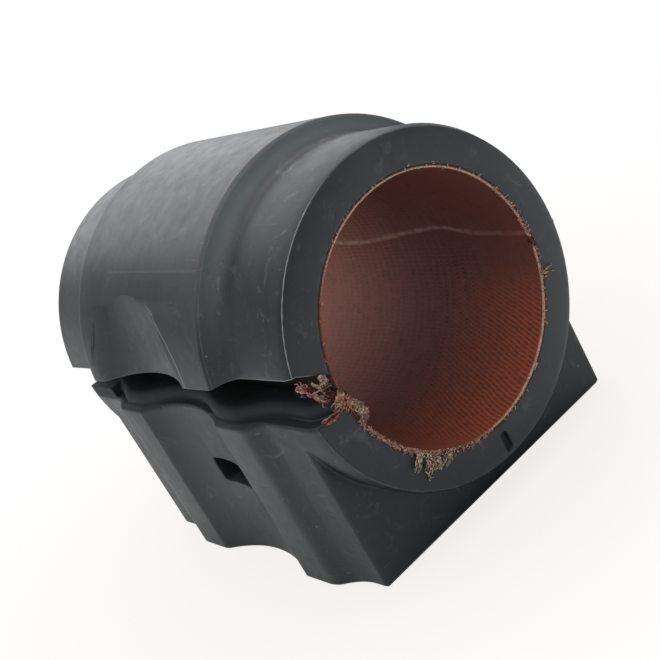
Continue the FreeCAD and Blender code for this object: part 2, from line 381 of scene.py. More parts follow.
def rubber_axes(made, place, normal):
    """The axes of the rubber's zones: places, facings, and distances to the nick and to the
    pocket's front edge."""
    axes = made.axes(place)
    facing = made.add("SeparateXYZ", {"Vector": normal}).outputs
    axes["facing_front"] = facing["Y"]
    axes["facing_up"] = facing["Z"]
    across = made.vector("MULTIPLY", place, (1.0, 0.0, 1.0))
    axes["from_nick"] = made.vector("DISTANCE", across, NICK_PLACE, output=1)
    start, slope, bend = POCKET_CURVE
    z = axes["z"]
    curve = made.total(start, made.times(z, slope), made.times(z, z, bend))
    axes["from_curve"] = made.apart(axes["y"], curve)
    return axes


def bloom_and_painted_light(made, axes, zones, clouds, patches, amount):
    """How much pale film lies on the rubber, partly real dust and bloom and partly painted
    light and shade: cloudy and most on top, which is partly painted light, more at the rear,
    raised on the shoulder and the neck's top as painted light, and taken off the front face
    towards its left, the slit and the pocket, and thinned on the rib's front, as painted
    shade."""
    bloom_and_light = made.times(made.remap(axes["facing_up"], -0.6, 0.9, 0.25, 1.0),
                      made.remap(clouds, 0.30, 0.72, 0.45, 1.0),
                      made.remap(patches, 0.25, 0.75, 0.75, 1.0), amount)
    # Painted shade: the film is taken off the front face more towards its left, off the slit,
    # and off most of the pocket
    front_face_shade = made.times(zones["front_face"], made.remap(axes["x"], 8.0, -20.0, 0.0, 0.8))
    bloom_and_light = made.times(bloom_and_light, made.without(front_face_shade), made.without(zones["slit"]),
                      made.without(zones["pocket"], 0.7))
    # Painted light: more pale film on the top of the front shoulder
    bloom_and_light = made.total(bloom_and_light, made.times(zones["shoulder"], 0.80))
    # Painted shade thins the film on the rib's front; painted light adds to it on the neck's
    # top
    return made.times(bloom_and_light, made.remap(zones["shaded_rib_front"], 0.0, 1.0, 1.0, 0.35),
                      made.remap(axes["y"], 13.0, 18.0, 1.0, 1.5),
                      made.remap(zones["lit_neck_top"], 0.0, 1.0, 1.0, 1.25))


def speck_mask(made, place):
    """Specks of dust of two sizes."""
    specks = []
    for scale, full, gone, empty in SPECKS:
        cells = made.add("TexVoronoi", {"Vector": place, "Scale": scale}, feature="F1")
        speck = made.remap(cells.outputs["Distance"], full, gone, 1.0, 0.0)
        kept = made.add("SeparateColor", {"Color": cells.outputs["Color"]}).outputs[0]
        specks.append(made.times(speck, made.math("GREATER_THAN", kept, empty)))
    return made.most(*specks)


def scratch_mask(made, place, patches):
    """Fine scratches that run three ways, in patches."""
    scratches = []
    for stretch, start in SCRATCHES:
        pattern = made.noise(made.vector("MULTIPLY", place, stretch), 2.4, 2.0, 0.5, 0.15)
        scratches.append(made.remap(pattern, start, start + 0.03))
    return made.times(made.most(*scratches), made.remap(patches, 0.42, 0.62))


def pale_marks_and_highlights(made, place, axes, zones, patches, grain, edge):
    """Specks, scratches, smudges, worn edges, the parting line and painted highlights on fine
    edges, with none deep in the slit, which is left dark as painted shade.
    """
    scuffs = made.most(made.times(speck_mask(made, place), 0.38),
                       made.times(scratch_mask(made, place, patches), 0.18))
    scuffs = made.times(scuffs, made.remap(axes["y"], -5.0, -16.0, 0.22, 1.0),
                        made.without(zones["front_face"], 0.75))
    smudge = made.remap(made.noise(place, 0.32, 5.0, 0.7, 0.8), 0.56, 0.74, 0.0, 0.28)
    smudge = made.times(smudge, made.remap(zones["neck"], 0.0, 1.0, 1.0, 2.1),
                        made.remap(grain, 0.3, 0.7, 0.3, 1.0))
    worn = made.times(edge, made.remap(patches, 0.38, 0.62, 0.12, 0.50), zones["off_nick"])
    # Painted highlight along the bead's outer edge
    bead_highlight = made.times(zones["bead_edge_highlight"], made.remap(patches, 0.40, 0.62, 0.08, 0.60))
    parting = made.times(zones["parting"], made.remap(patches, 0.35, 0.6, 0.03, 0.14))
    marks_and_highlights = made.most(scuffs, smudge, worn, bead_highlight, parting,
                      # Painted highlights on the pocket's front edge and the barrel's rear
                      # edge
                      made.times(zones["pocket_edge_highlight"], 0.60),
                      made.times(zones["barrel_rear_highlight"], 0.30))
    # Painted shade: no pale marks deep in the slit
    deep = made.times(zones["slit"], made.remap(axes["x"], -23.6, -22.8))
    return made.times(marks_and_highlights, made.without(deep))


def rubber_material(look):
    """Satin black rubber with a pale cloudy bloom that is partly painted light and shade,
    specks, scuffs, worn edges, and painted highlights on fine edges and on the front collar's
    left edge.
    """
    made = Recipe("moulded_rubber")
    place = made.millimetres()
    normal = made.add("NewGeometry").outputs["Normal"]
    rounded = made.add("Bevel", {"Radius": look.edge_round}, samples=6).outputs[0]
    crisp = made.add("Bevel", {"Radius": look.edge_round / 2.0}, samples=6).outputs[0]
    alike = made.vector("DOT_PRODUCT", crisp, normal, output=1)
    edge = made.remap(made.math("SUBTRACT", 1.0, alike), 0.002, 0.030)
    axes = rubber_axes(made, place, normal)
    zones = made.zones(axes, RUBBER_ZONES)
    clouds = made.noise(place, 0.11, 4.0, 0.6, 0.4)
    patches = made.noise(place, 0.55, 5.0, 0.62)
    grain = made.noise(place, 6.5, 3.0, 0.6)

    # Pale film that is partly real bloom and partly painted light and shade
    bloom_and_light = bloom_and_painted_light(made, axes, zones, clouds, patches, look.bloom_and_light_amount)
    colour = made.mix(bloom_and_light, (*look.colour, 1.0), (*look.bloom_and_light_colour, 1.0))
    marks_and_highlights = pale_marks_and_highlights(made, place, axes, zones, patches, grain, edge)
    colour = made.mix(marks_and_highlights, colour, MARK_AND_HIGHLIGHT_COLOUR)
    # Painted highlight along the front collar's left edge
    collar_highlight = made.times(edge, zones["left_collar"],
                        made.remap(patches, 0.35, 0.60, 0.60, 1.0))
    colour = made.mix(collar_highlight, colour, COLLAR_HIGHLIGHT_COLOUR)

    rough = made.total(made.remap(patches, 0.3, 0.7, 0.34, 0.42), made.times(bloom_and_light, 0.25),
                       made.times(zones["slit"], 0.30))
    height = made.total(made.times(grain, 0.25), made.times(patches, 0.6),
                        made.times(zones["parting"], 0.25))
    bump = made.add("Bump", {
        "Height": height, "Strength": 0.16, "Distance": 0.12 * MM, "Normal": rounded})
    shader = made.add("BsdfPrincipled", {
        "Base Color": colour, "Roughness": rough, "Normal": bump.outputs[0]})
    return made.finish(shader.outputs[0])


class BUSHING_OT_finish_rubber(bpy.types.Operator):
    """Gives the moulded rubber body its finish and smooth shading"""

    bl_idname = "bushing.finish_rubber"
    bl_label = "Finish rubber body"

    def execute(self, context):
        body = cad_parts["rubber_body"]
        material = rubber_material(context.scene.bushing_rubber)
        body.data.materials.clear()
        body.data.materials.append(material)
        smooth = body.modifiers.new("Smooth curved faces", "NODES")
        smooth.node_group = smooth_by_angle("smooth_curved_faces", SMOOTH_BELOW_DEGREES)
        return {"FINISHED"}


# Woven liner

# Faces of the sleeve round the bore and along it
LINER_COLUMNS = 236
LINER_ROWS = 132

# The cut's two edges, as heights above the bore's axis, and how ragged they are: by how
# much and with how many cells of noise in each metre
CUT_LOW = 0.41 * MM
CUT_HIGH = 0.49 * MM
CUT_RAGGED = 0.03 * MM
CUT_CELLS = 900.0

# Where the liner is set back beside the slit at its rear end, the corner's radius and its
# steps, and the part of the bore behind which faces are looked at
SETBACK_Y = 26.0 * MM
SETBACK_Z = -10.6 * MM
SETBACK_ROUND = 3.0 * MM
SETBACK_STEPS = 6
SETBACK_SEARCH_Y = 20.0 * MM

# Unevenness of the inner face, as cells of noise in each metre and height in millimetres,
# and how far the face stands inside the bore
INNER_WAVES = ((160.0, 0.06), (520.0, 0.035))
INNER_STAND = 0.03

# Pale seam in the liner on the side away from the slit: distance along the bore and height,
# in millimetres, then the span of heights that its ramp of grey stands for, and the height
# and half width of its ridge
SEAM = ((-30.7, 0.0), (-22.0, 0.3), (-17.8, 1.1), (-14.9, 1.75), (-10.0, 1.1),
        (-5.0, 0.65), (0.35, -0.06), (5.7, -0.4), (9.6, 0.06), (20.0, 0.3), (30.7, 0.0))
SEAM_SPAN = 4.0
SEAM_RIDGE = 0.13
SEAM_WIDTH = 0.42

# How far a yarn moves round the bore for each length along it
YARN_LEAN = 0.42

# Some zones mark painted light: low at the mouth, deep in the bore, and low on the right for
# the end's inner edge
LINER_ZONES = {
    "lit_low_mouth": (("y", -8.0, -28.5), ("z", -2.0, -10.5)),
    "dotted": (("y", 9.0, 2.0, -15.0), ("z", 4.0, -3.0)),
    "lit_lower_right": (("z", -2.0, -9.0), ("x", -6.0, 2.0)),
    "deep": (("y", -12.0, 16.0),),
}

# The mouth and deep yarn colours are painted light; the two rim colours are shaded and lit
# copies of one colour
CLOUDY_YARN = (0.185, 0.068, 0.052, 1.0)
LIT_MOUTH_YARN = (0.70, 0.135, 0.045, 1.0)
LIT_DEEP_YARN = (0.50, 0.172, 0.115, 1.0)
SOILED_YARN = (0.070, 0.036, 0.028, 1.0)
DOT_COLOUR = (0.050, 0.030, 0.034, 1.0)
SEAM_COLOUR = (0.38, 0.21, 0.165, 1.0)
SHADED_RIM = (0.24, 0.085, 0.055, 1.0)
LIT_RIM = (0.62, 0.40, 0.31, 1.0)
CUT_END = (0.060, 0.032, 0.028, 1.0)
LINER_BACK = (0.026, 0.017, 0.016, 1.0)


def from_axis(point):
    """The part of a place that leads straight away from the bore's axis."""
    return Vector((point.x, 0, point.z))


def seam_height(along):
    """The seam's height in metres at a distance along the bore in metres."""
    y = along / MM
    for (y0, z0), (y1, z1) in zip(SEAM, SEAM[1:]):
        if y0 <= y <= y1:
            t = (y - y0) / (y1 - y0)
            t = t * t * (3.0 - 2.0 * t)
            return (z0 + (z1 - z0) * t) * MM
    return 0.0


def cut_angles(along, radius):
    """Where the liner's two cut edges lie, as angles from +X towards +Z."""
    low_ragged = noise.noise(Vector((along * CUT_CELLS, 0.3, 0.7))) * CUT_RAGGED
    high_ragged = noise.noise(Vector((along * CUT_CELLS, 5.3, 0.7))) * CUT_RAGGED
    low = -math.pi - math.asin((CUT_LOW + low_ragged) / radius)
    high = math.pi - math.asin((CUT_HIGH + high_ragged) / radius)
    return low, high


def setback_planes():
    """Planes that bound the set-back corner from inside, as a point and its direction."""
    planes = [(Vector((0, SETBACK_Y, 0)), Vector((0, 1, 0))),
              (Vector((0, 0, SETBACK_Z)), Vector((0, 0, 1)))]
    centre = Vector((0, SETBACK_Y + SETBACK_ROUND, SETBACK_Z + SETBACK_ROUND))
    for step in range(1, SETBACK_STEPS):
        angle = math.radians(90.0 * step / SETBACK_STEPS)
        inward = Vector((0, math.cos(angle), math.sin(angle)))
        planes.append((centre - inward * SETBACK_ROUND, inward))
    return planes


def cut_setback(bm):
    """Takes away the liner beside the slit at its rear end, with a rounded corner."""
    inside = [face for face in bm.faces if face.calc_center_median().x < 0
              and face.calc_center_median().y > SETBACK_SEARCH_Y]
    for point, inward in setback_planes():
        geometry = list(inside)
        for face in inside:
            geometry.extend(face.edges)
            geometry.extend(face.verts)
        result = bmesh.ops.bisect_plane(
            bm, geom=list(dict.fromkeys(geometry)), dist=1e-7, plane_co=point,
            plane_no=inward)
        found = [item for item in result["geom"] if isinstance(item, bmesh.types.BMFace)]
        inside = [face for face in found
                  if face.is_valid and (face.calc_center_median() - point).dot(inward) > 0]
    bmesh.ops.delete(bm, geom=inside, context="FACES")


def liner_surface(look):
    """The liner's inner face, round the bore from one cut edge to the other."""
    radius = look.bore_radius
    bm = bmesh.new()
    grid = []
    for row in range(LINER_ROWS + 1):
        along = -look.length / 2.0 + look.length * row / LINER_ROWS
        low, high = cut_angles(along, radius)
        line = []
        for column in range(LINER_COLUMNS + 1):
            angle = low + (high - low) * column / LINER_COLUMNS
            line.append(bm.verts.new(
                (radius * math.cos(angle), along, radius * math.sin(angle))))
        grid.append(line)
    for first, second in zip(grid, grid[1:]):
        for column in range(LINER_COLUMNS):
            bm.faces.new((first[column], first[column + 1],
                          second[column + 1], second[column]))
    cut_setback(bm)
    return bm


def sort_faces(bm):
    """Puts the faces in an order that is the same each time the mesh is made."""
    bm.verts.index_update()
    ordered = sorted(bm.faces, key=lambda face: sorted(vert.index for vert in face.verts))
    rank = {face: place for place, face in enumerate(ordered)}
    bm.faces.sort(key=rank.get)


def liner_mesh(look):
    """A thin closed sleeve, slit, set back at the rear, with the seam's ridge."""
    bm = liner_surface(look)
    bmesh.ops.recalc_face_normals(bm, faces=bm.faces[:])
    if sum(face.normal.dot(from_axis(face.calc_center_median())) for face in bm.faces) > 0:
        bmesh.ops.reverse_faces(bm, faces=bm.faces[:])
    inner = bm.verts[:]
    result = bmesh.ops.extrude_face_region(bm, geom=bm.faces[:], use_keep_orig=True)
    moved = [item for item in result["geom"] if isinstance(item, bmesh.types.BMVert)]
    for vert in moved:
        vert.co += from_axis(vert.co).normalized() * look.thickness
    for vert in inner:
        wave = sum(noise.noise(vert.co * cells) * height for cells, height in INNER_WAVES)
        ridge = 0.0
        if vert.co.x > 0:
            gap = (vert.co.z - seam_height(vert.co.y)) / MM
            ridge = SEAM_RIDGE * math.exp(-(gap / SEAM_WIDTH) ** 2)
        vert.co -= from_axis(vert.co).normalized() * (wave + INNER_STAND + ridge) * MM
    bmesh.ops.recalc_face_normals(bm, faces=bm.faces[:])
    sort_faces(bm)
    return bm


def weave(made, place, axes, look):
    """Two leaning sets of yarns: the wave of one set, and how the two cross."""
    middle_cut = (CUT_LOW + CUT_HIGH) / 2.0 / MM
    angle = made.math("ARCTAN2", made.math("SUBTRACT", axes["z"], middle_cut), axes["x"])
    round_bore = made.total(made.times(angle, look.bore_radius / MM),
                            made.wander(place, 0.22, 2.0, 0.9),
                            made.wander(place, 1.5, 2.0, 0.14))
    lean = made.times(axes["y"], YARN_LEAN)
    turns = math.pi * MM / look.yarn_pitch
    warp = made.math("SINE", made.times(made.total(round_bore, lean), turns))
    weft = made.math("SINE", made.times(made.math("SUBTRACT", round_bore, lean), turns))
    return weft, made.times(warp, weft)


def seam_mask(made, place, axes, patch, look):
    """The pale seam, which wanders a little about the height that a ramp gives it."""
    length = look.length / MM
    share = made.math("DIVIDE", made.total(axes["y"], length / 2.0), length)
    ramp = made.add("ValToRGB", {"Fac": share})
    ramp.color_ramp.interpolation = "B_SPLINE"
    stops = ramp.color_ramp.elements
    stops[0].position = 0.0
    stops[1].position = 1.0
    for along, _ in SEAM[1:-1]:
        stops.new((along + length / 2.0) / length)
    for stop, (_, height) in zip(stops, SEAM):
        level = height / SEAM_SPAN + 0.5
        stop.color = (level, level, level, 1.0)
    seam = made.times(made.math("SUBTRACT", ramp.outputs[0], 0.5), SEAM_SPAN)
    gap = made.apart(made.total(axes["z"], made.wander(place, 0.8, 3.0, 0.5)), seam)
    return made.times(made.remap(gap, 0.10, 0.50, 1.0, 0.0),
                      made.math("GREATER_THAN", axes["x"], 0.0),
                      made.remap(patch, 0.35, 0.6, 0.35, 0.9),
                      made.remap(axes["y"], -26.0, -12.0, 0.35, 1.0))


def yarn_face(made, axes, zones, lit_low_mouth, crossing, raised, cloud, patch, look):
    """The colour of the liner's inner face before the seam."""
    yarn = made.mix(made.remap(cloud, 0.35, 0.65), (*look.yarn_colour, 1.0), CLOUDY_YARN)
    # Painted light: orange yarn low at the mouth
    yarn = made.mix(made.times(lit_low_mouth, 0.85), yarn, LIT_MOUTH_YARN)
    # Painted light and sheen: paler yarn deep in the bore
    yarn = made.mix(made.times(zones["deep"], 0.65), yarn, LIT_DEEP_YARN)
    colour = made.mix(raised, (*look.gap_colour, 1.0), yarn)
    colour = made.mix(made.remap(patch, 0.50, 0.72, 0.0, 0.40), colour, SOILED_YARN)
    dots = made.times(made.remap(crossing, 0.35, 0.95), zones["dotted"], 0.75,
                      made.remap(patch, 0.3, 0.6, 0.3, 1.0))
    return made.mix(dots, colour, DOT_COLOUR)


def liner_ends(made, colour, axes, zones, fibre, look):
    """Adds the end faces, with their inner edge painted lit on the upper and lower right and
    painted shaded elsewhere, and the dark back of the liner.
    """
    half = look.length / 2.0 / MM
    bore = look.bore_radius / MM
    at_end = made.zone(axes, (("y", half - 0.30, half - 0.10, 0.0),))
    inner_edge = made.zone(axes, (("radial", bore + 0.24, bore + 0.06),))
    back = made.zone(axes, (("radial", bore + 0.22, bore + 0.40),
                            ("y", half - 0.10, half - 0.30, 0.0)))
    # Painted light and shade: the inner edge is lit on the upper and lower right and shaded
    # elsewhere
    lit_upper_right = made.remap(made.total(made.times(axes["x"], 0.9), axes["z"]), -6.0, 9.0)
    rim = made.mix(made.most(lit_upper_right, zones["lit_lower_right"]), SHADED_RIM, LIT_RIM)
    on_rim = made.times(inner_edge, made.remap(fibre, 0.35, 0.55, 0.25, 1.0))
    colour = made.mix(at_end, colour, made.mix(on_rim, CUT_END, rim))
    return made.mix(back, colour, LINER_BACK)


def liner_material(look):
    """Resin-soaked bias weave: dotted halfway in, streaked low at its mouth, with painted
    light that makes it orange low at its mouth and paler deep in the bore.
    """
    made = Recipe("woven_liner_cloth")
    place = made.millimetres()
    axes = made.axes(place)
    zones = made.zones(axes, LINER_ZONES)
    weft, crossing = weave(made, place, axes, look)
    fibre = made.noise(place, 5.5, 4.0, 0.65)
    cloud = made.noise(place, 0.16, 3.0, 0.6)
    patch = made.noise(place, 0.9, 4.0, 0.6)
    # Where the liner low at its mouth is painted lit
    lit_low_mouth = made.times(zones["lit_low_mouth"], made.remap(axes["x"], -13.0, 2.0, 0.35, 1.0))
    relief = made.times(made.remap(crossing, -0.8, 0.8),
                        made.remap(axes["y"], -24.0, -14.0, 0.10, 0.34),
                        made.remap(axes["y"], 0.0, 14.0, 1.0, 0.45))
    streaks = made.times(made.math("ABSOLUTE", weft), lit_low_mouth, -0.55)
    raised = made.total(relief, made.times(fibre, 0.62), made.times(lit_low_mouth, 0.3), streaks)

    colour = yarn_face(made, axes, zones, lit_low_mouth, crossing, raised, cloud, patch, look)
    colour = made.mix(seam_mask(made, place, axes, patch, look), colour, SEAM_COLOUR)
    colour = liner_ends(made, colour, axes, zones, fibre, look)
    bump = made.add("Bump", {"Height": raised, "Strength": 0.6, "Distance": 0.09 * MM})
    shader = made.add("BsdfPrincipled", {
        "Base Color": colour, "Roughness": made.remap(raised, 0.2, 0.9, 0.58, 0.74),
        "Specular IOR Level": 0.06, "Normal": bump.outputs[0]})
    return made.finish(shader.outputs[0])


class BUSHING_OT_weave_liner(bpy.types.Operator):
    """Makes the woven liner in place of the plain sleeve"""

    bl_idname = "bushing.weave_liner"
    bl_label = "Weave liner"

    def execute(self, context):
        look = context.scene.bushing_liner
        piece = new_piece("woven_liner", liner_mesh(look), liner_material(look))
        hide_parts("fabric_liner")
        return {"FINISHED"}


# Frayed yarn

# A fibre's sides, how many turns of the noise it follows, how much thinner its tip is, and
# how far in millimetres a bundle's fibres stand nearer or farther than the bundle
FIBRE_SIDES = 6
FIBRE_TURNS = 2.8
FIBRE_TAPER = 0.45
STAND_SPREAD = 0.12

# Dark and pale colour of each yarn
YARNS = {
    "dark": ((0.075, 0.014, 0.013), (0.22, 0.045, 0.045)),
    "pink": ((0.52, 0.15, 0.12), (0.88, 0.50, 0.43)),
    "orange": ((0.46, 0.15, 0.075), (0.90, 0.42, 0.25)),
    "peach": ((0.86, 0.36, 0.19), (0.98, 0.66, 0.46)),
    "cream": ((0.58, 0.37, 0.24), (0.92, 0.74, 0.54)),
}
YARN_DIRT = (0.05, 0.025, 0.02, 1.0)

# Bundles of loose fibres at the front end: yarn, how many, then in millimetres the place
# across and up where they start and its spread, the place where they end and its spread,
# how far in front of the end face they stand, and how far they curl
BUNDLES = (
    ("dark", 54, (-17.1, 0.5), 0.45, (-19.5, 3.15), 0.6, 0.10, 0.55),
    ("dark", 22, (-17.3, 1.9), 0.4, (-19.2, 3.2), 0.5, 0.05, 0.5),
    ("pink", 24, (-19.5, 2.9), 0.4, (-20.25, 3.7), 0.45, 0.10, 0.5),
    ("cream", 8, (-18.65, 3.25), 0.16, (-18.0, 2.1), 0.16, 0.42, 0.3),
    ("cream", 20, (-17.4, 3.15), 0.3, (-17.05, 2.15), 0.3, 0.22, 0.6),
    ("pink", 12, (-19.6, 2.5), 0.3, (-17.9, 0.6), 0.3, 0.30, 0.7),
    ("cream", 7, (-19.1, 2.05), 0.3, (-18.2, 1.0), 0.3, 0.36, 0.6),
    ("peach", 18, (-16.1, 0.05), 0.30, (-17.5, -0.55), 0.35, 0.38, 0.4),
    ("peach", 10, (-16.9, 0.2), 0.25, (-17.1, -0.75), 0.3, 0.42, 0.4),
    ("orange", 26, (-16.2, 0.2), 0.5, (-17.2, -0.7), 0.55, 0.22, 0.6),
    ("orange", 22, (-15.9, -0.6), 0.35, (-16.35, -1.5), 0.35, 0.25, 0.8),
    ("dark", 16, (-16.0, 0.2), 0.4, (-16.2, -1.3), 0.4, 0.08, 0.6),
    ("cream", 26, (-15.8, -1.2), 0.3, (-14.85, -2.45), 0.3, 0.22, 0.6),
    ("orange", 8, (-15.8, -1.2), 0.4, (-14.75, -2.6), 0.4, 0.15, 0.6),
    ("cream", 16, (-14.9, -2.8), 0.3, (-15.1, -3.8), 0.4, 0.25, 0.7),
    ("pink", 18, (-14.6, -3.0), 0.3, (-14.8, -4.2), 0.4, 0.22, 0.7),
    ("pink", 6, (-17.75, -1.15), 0.08, (-19.9, -1.08), 0.12, 0.20, 0.25),
    ("pink", 8, (-17.8, -1.50), 0.10, (-19.6, -1.45), 0.12, 0.24, 0.25),
    ("dark", 7, (-17.9, -1.30), 0.08, (-19.5, -1.27), 0.08, 0.28, 0.2),
    ("cream", 3, (-18.4, -1.62), 0.10, (-19.3, -1.55), 0.1, 0.30, 0.2),
    ("cream", 12, (-11.2, -12.0), 0.4, (-12.6, -12.8), 0.5, 0.28, 0.9),
    ("cream", 16, (-10.5, -13.0), 0.5, (-11.2, -14.2), 0.6, 0.28, 0.9),
    ("cream", 12, (-9.3, -13.9), 0.5, (-10.3, -14.6), 0.5, 0.28, 0.9),
    ("cream", 10, (-7.6, -14.6), 0.5, (-9.0, -15.0), 0.4, 0.22, 0.7),
    ("dark", 9, (15.8, -0.5), 0.2, (16.2, -1.6), 0.25, 0.12, 0.5),
    ("pink", 6, (15.7, 1.9), 0.2, (16.2, 0.6), 0.25, 0.12, 0.5),
    ("cream", 2, (15.3, -5.00), 0.06, (17.35, -5.1), 0.12, 0.30, 0.2),
    ("cream", 1, (15.4, -5.25), 0.06, (17.25, -5.9), 0.10, 0.30, 0.2),
    ("pink", 8, (15.1, -4.8), 0.16, (15.6, -5.6), 0.2, 0.15, 0.4),
)

# Parts of the front rim between two angles in degrees: their share of the short fibres,
# the longest reach in millimetres, and the yarn
RIM_PARTS = (
    (-166, -134, 0.29, 0.62, "pink"), (-166, -136, 0.12, 0.55, "cream"),
    (-136, -98, 0.13, 0.50, "cream"), (-136, -96, 0.10, 0.42, "pink"),
    (-98, -25, 0.09, 0.24, "cream"), (-25, 30, 0.10, 0.42, "pink"),
    (-10, 28, 0.06, 0.42, "cream"), (30, 80, 0.05, 0.26, "cream"),
    (80, 172, 0.05, 0.24, "orange"),
)
RIM_CURL = 0.35


def loose_fibre(bm, rng, start, end, radius, curl, points=9):
    """One fibre that wanders from its root to its tip; curl is how far, in millimetres."""
    offset = Vector((rng.uniform(-50, 50), rng.uniform(-50, 50), rng.uniform(-50, 50)))
    path = []
    radii = []
    for index in range(points):
        t = index / (points - 1)
        sway = noise.noise_vector(offset + Vector((t * FIBRE_TURNS, 0, 0)))
        sway -= noise.noise_vector(offset)
        sway.y *= 0.5
        path.append(start.lerp(end, t) + sway * curl * MM)
        radii.append(radius * (1.0 - FIBRE_TAPER * t ** 3))
    add_tube(bm, path, radii, FIBRE_SIDES)


def near_front(rng, place, spread, stand):
    """A chance place, in front of the liner's front end, near one given in millimetres."""
    x = place[0] + rng.gauss(0, spread * 0.5)
    z = place[1] + rng.gauss(0, spread * 0.5)
    stand += rng.uniform(-STAND_SPREAD, STAND_SPREAD)
    return Vector((x * MM, FRONT_Y - stand * MM, z * MM))


def add_bundles(meshes, rng, look):
    """The long loose fibres at the slit and low on the rim."""
    for name, count, root, root_spread, tip, tip_spread, stand, curl in BUNDLES:
        for _ in range(count):
            loose_fibre(meshes[name], rng, near_front(rng, root, root_spread, stand),
                        near_front(rng, tip, tip_spread, stand),
                        look.fibre_radius * rng.uniform(0.65, 1.3), curl)


def add_rim_fibres(meshes, rng, look, liner):
    """The short fibres that stand out of the liner's front edge."""
    middle = liner.bore_radius + liner.thickness / 2.0
    for low, high, share, reach, name in RIM_PARTS:
        for _ in range(int(look.rim_fibres * share)):
            angle = math.radians(rng.uniform(low, high))
            out = Vector((math.cos(angle), 0, math.sin(angle)))
            round_rim = Vector((-math.sin(angle), 0, math.cos(angle)))
            root = out * (middle + rng.uniform(-0.2, 0.15) * MM)
            root.y = -liner.length / 2.0 + rng.uniform(-0.1, 0.1) * MM
            heading = round_rim * rng.uniform(-1, 1) + out * rng.uniform(-0.25, 0.45)
            heading.y = -rng.uniform(0.05, 0.5)
            length = rng.uniform(0.4, 1.0) * reach * MM
            loose_fibre(meshes[name], rng, root, root + heading.normalized() * length,
                        look.fibre_radius * rng.uniform(0.5, 0.9), RIM_CURL, points=6)


def yarn_material(name, colour, pale):
    """Dry twisted fibre, its colour uneven along the yarn."""
    made = Recipe(name)
    place = made.millimetres()
    uneven = made.noise(place, 2.2, 4.0, 0.65)
    fine = made.noise(place, 14.0, 3.0, 0.6)
    mixed = made.mix(made.remap(uneven, 0.32, 0.60), (*colour, 1.0), (*pale, 1.0))
    mixed = made.mix(made.remap(fine, 0.52, 0.82, 0.0, 0.16), mixed, YARN_DIRT)
    bump = made.add("Bump", {"Height": fine, "Strength": 0.5, "Distance": 0.03 * MM})
    shader = made.add("BsdfPrincipled", {
        "Base Color": mixed, "Roughness": made.remap(fine, 0.2, 0.8, 0.6, 0.85),
        "Normal": bump.outputs[0]})
    return made.finish(shader.outputs[0])


class BUSHING_OT_fray_yarn(bpy.types.Operator):
    """Makes the frayed yarn at the slit and round the front rim"""

    bl_idname = "bushing.fray_yarn"
    bl_label = "Fray yarn"

    def execute(self, context):
        look = context.scene.bushing_fray
        rng = random.Random(look.seed)
        noise.seed_set(look.seed)
        meshes = {name: bmesh.new() for name in YARNS}
        add_bundles(meshes, rng, look)
        add_rim_fibres(meshes, rng, look, context.scene.bushing_liner)
        for name, (colour, pale) in YARNS.items():
            material = yarn_material(name + "_yarn", colour, pale)
            new_piece("frayed_yarn_" + name, meshes[name], material)
        return {"FINISHED"}


# Stage

FLOOR_RADIUS = 1.6
LAMP_COLOUR = (0.965, 0.99, 1.0)
WHITE = (1.0, 1.0, 1.0, 1.0)
SHADE_WARM_WHITE = (1.0, 0.978, 0.960, 1.0)
FLOOR_COLOURS = ((0.86, 0.845, 0.83, 1.0), (0.90, 0.89, 0.88, 1.0))

# Where the two large lamps shine from, and how wide they look in degrees
KEY_FROM = (0.30, 0.80, 0.52)
KEY_WIDTH = 58.0
TOP_FROM = (-0.10, -0.08, 0.99)
TOP_WIDTH = 80.0

# The lamp behind the bore: its place and the place it shines at, in millimetres, its size
# and its beam in degrees
BORE_LAMP_PLACE = (-8.0, 50.0, 4.0)
BORE_LAMP_AIM = (13.0, 8.0, -6.0)
BORE_LAMP_SIZE = 16.0 * MM
BORE_LAMP_BEAM = 75.0

# The camera: its sideways and upward directions, its place and the width of its sensor in
# millimetres, and the distances in metres between which it sees
CAMERA_RIGHT = (0.69013, -0.55756, -0.46135)
CAMERA_UP = (0.57220, 0.03012, 0.81956)
CAMERA_PLACE = (-74.5496, -145.0711, 53.4117)
SENSOR_WIDTH = 36.0
CLIP_NEAR = 0.005
CLIP_FAR = 20.0


def floor_material():
    """Pale floor, lifted to white for the camera while it keeps the object's shadow."""
    made = Recipe("pale_floor")
    place = made.add("TexCoord").outputs["Object"]
    colour = made.mix(made.noise(place, 3.0, 3.0, 0.5), *FLOOR_COLOURS)
    cloth = made.add("BsdfDiffuse", {"Color": colour}).outputs[0]
    distance = made.vector("LENGTH", place, output=1)
    # The glow is warmer near the object, a painted warm tone of the shade there
    glow = made.mix(made.remap(distance, 0.030, 0.095), SHADE_WARM_WHITE, WHITE)
    white = made.add("Emission", {"Color": glow, "Strength": 1.0}).outputs[0]
    seen = made.add("LightPath").outputs["Is Camera Ray"]
    lift = made.times(seen, made.remap(distance, 0.032, 0.070, 0.83, 1.0))
    blend = made.add("MixShader")
    for index, value in enumerate((lift, cloth, white)):
        made.feed(blend.inputs[index], value)
    return made.finish(blend.outputs[0])


def add_floor():
    """A round floor under the bushing's flat base."""
    bm = bmesh.new()
    bmesh.ops.create_circle(bm, cap_ends=True, radius=FLOOR_RADIUS, segments=96)
    mesh = bpy.data.meshes.new("floor")
    bm.to_mesh(mesh)
    bm.free()
    mesh.materials.append(floor_material())
    floor = bpy.data.objects.new("floor", mesh)
    floor.location.z = BASE_Z
    bpy.context.scene.collection.objects.link(floor)


def add_sun(name, toward, strength, width):
    """A soft lamp that shines from a direction."""
    lamp = bpy.data.lights.new(name, "SUN")
    lamp.energy = strength
    lamp.angle = math.radians(width)
    lamp.color = LAMP_COLOUR
    shown = bpy.data.objects.new(name, lamp)
    shown.rotation_euler = Vector(toward).to_track_quat("Z", "Y").to_euler()
    bpy.context.scene.collection.objects.link(shown)


